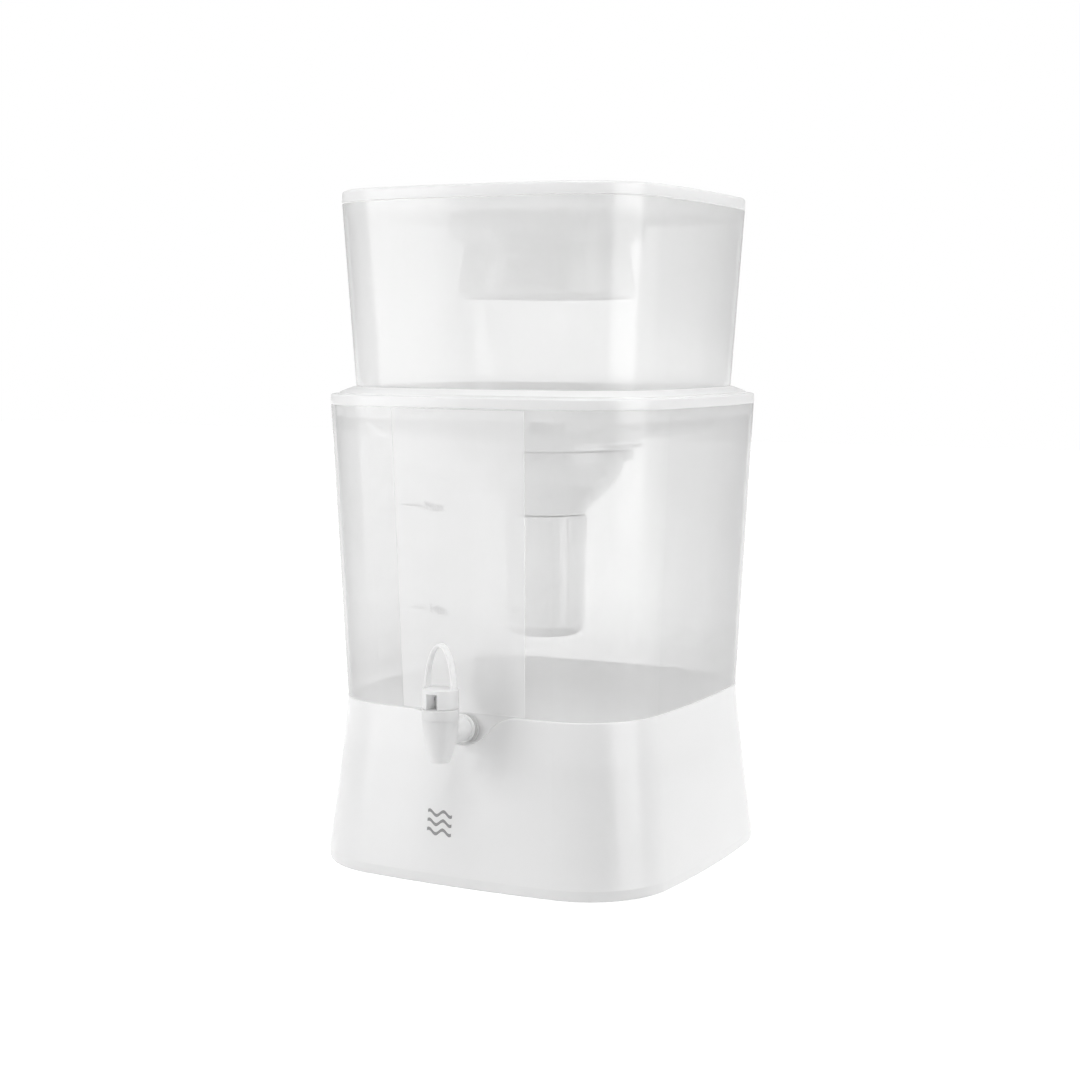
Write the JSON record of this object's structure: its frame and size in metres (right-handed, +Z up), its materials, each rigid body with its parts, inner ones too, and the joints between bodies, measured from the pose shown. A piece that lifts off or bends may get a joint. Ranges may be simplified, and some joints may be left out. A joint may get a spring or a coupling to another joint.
{
  "type": "gravity water filter",
  "caption": "Stacked gravity water filter: flared stand, frosted lower tank with lever tap, collar, upper tank with hanging filter, fill tray with prefilter, and flat lid.",
  "frame": {"origin": "centre of the object's box, on the surface that the feet stand on", "axes": "+Z up, -Y towards the front with the tap, +X to the right seen from the front; the tanks' axis is 16.3 mm behind the origin"},
  "size_m": [0.2952, 0.3278, 0.52],
  "materials": {
    "white_plastic": "satin white moulded plastic",
    "tank_plastic": "frosted clear moulded plastic",
    "panel_plastic": "finely frosted sheet",
    "tray_plastic": "natural white moulded plastic",
    "filter_plastic": "natural white moulded plastic",
    "foot_rubber": "soft rubber",
    "seal_rubber": "translucent silicone",
    "felt": "pressed white felt",
    "mineral": "packed mineral balls",
    "carbon": "packed carbon grains",
    "steel": "drawn wire"
  },
  "bodies": {
    "base": {"base_stand": "white_plastic", "foot_front_left": "foot_rubber", "foot_front_right": "foot_rubber", "foot_rear_left": "foot_rubber", "foot_rear_right": "foot_rubber"},
    "lower_tank": {"lower_tank": "tank_plastic", "front_panel": "panel_plastic", "tap_body": "white_plastic", "tap_bonnet": "white_plastic", "tap_gasket": "seal_rubber", "tap_washer": "seal_rubber", "tap_nut": "white_plastic", "valve_spring": "steel"},
    "valve": {"valve_stem": "white_plastic", "valve_plug": "seal_rubber", "lever_pin": "steel"},
    "lever": {"tap_lever": "white_plastic"},
    "collar": {"collar": "white_plastic"},
    "upper_tank": {"upper_tank": "tank_plastic", "filter_head": "filter_plastic", "filter_gasket": "seal_rubber", "filter_nut": "filter_plastic"},
    "bell": {"bell_lock_ring": "filter_plastic", "filter_bell": "filter_plastic", "bell_seal": "seal_rubber", "mineral_bed": "mineral", "bell_felt": "felt"},
    "cartridge": {"cartridge_seal": "seal_rubber", "cartridge_cap": "filter_plastic", "cartridge_cup": "filter_plastic", "felt_pad_lower": "felt", "carbon_bed": "carbon", "felt_pad_upper": "felt"},
    "fill_tray": {"fill_tray": "tray_plastic"},
    "prefilter": {"prefilter_cup": "tray_plastic", "prefilter_pad": "felt"},
    "lid": {"lid": "white_plastic"}
  },
  "joints": [
    {"name": "tank_lift", "type": "slide", "parent": "base", "child": "lower_tank", "axis": [0, 0, 1], "range_m": [0, 0.06]},
    {"name": "collar_lift", "type": "slide", "parent": "lower_tank", "child": "collar", "axis": [0, 0, 1], "range_m": [0, 0.2]},
    {"name": "upper_tank_lift", "type": "slide", "parent": "collar", "child": "upper_tank", "axis": [0, 0, 1], "range_m": [0, 0.21]},
    {"name": "tray_lift", "type": "slide", "parent": "upper_tank", "child": "fill_tray", "axis": [0, 0, 1], "range_m": [0, 0.09]},
    {"name": "lid_lift", "type": "slide", "parent": "fill_tray", "child": "lid", "axis": [0, 0, 1], "range_m": [0, 0.08]},
    {"name": "prefilter_twist", "type": "hinge", "parent": "fill_tray", "child": "prefilter", "pos_m": [0, 0.0163, 0.489], "axis": [0, 0, -1], "range_deg": [0, 45]},
    {"name": "bell_twist", "type": "hinge", "parent": "upper_tank", "child": "bell", "pos_m": [0, 0.0163, 0.318], "axis": [0, 0, -1], "range_deg": [0, 360]},
    {"name": "cartridge_twist", "type": "hinge", "parent": "bell", "child": "cartridge", "pos_m": [0, 0.0163, 0.264], "axis": [0, 0, -1], "range_deg": [0, 360]},
    {"name": "valve_lift", "type": "slide", "parent": "lower_tank", "child": "valve", "axis": [0, 0, 1], "range_m": [0, 0.0062], "deforming": ["valve_spring"]},
    {"name": "lever_tilt", "type": "hinge", "parent": "valve", "child": "lever", "pos_m": [0, -0.1502, 0.1471], "axis": [1, 0, 0], "range_deg": [0, 30], "stiffness_Nm_per_rad": 0.3, "springref_deg": -20.05}
  ],
  "couplings": [
    {"joint": "valve_lift", "follows": "lever_tilt", "m_per_rad": 0.0114}
  ]
}
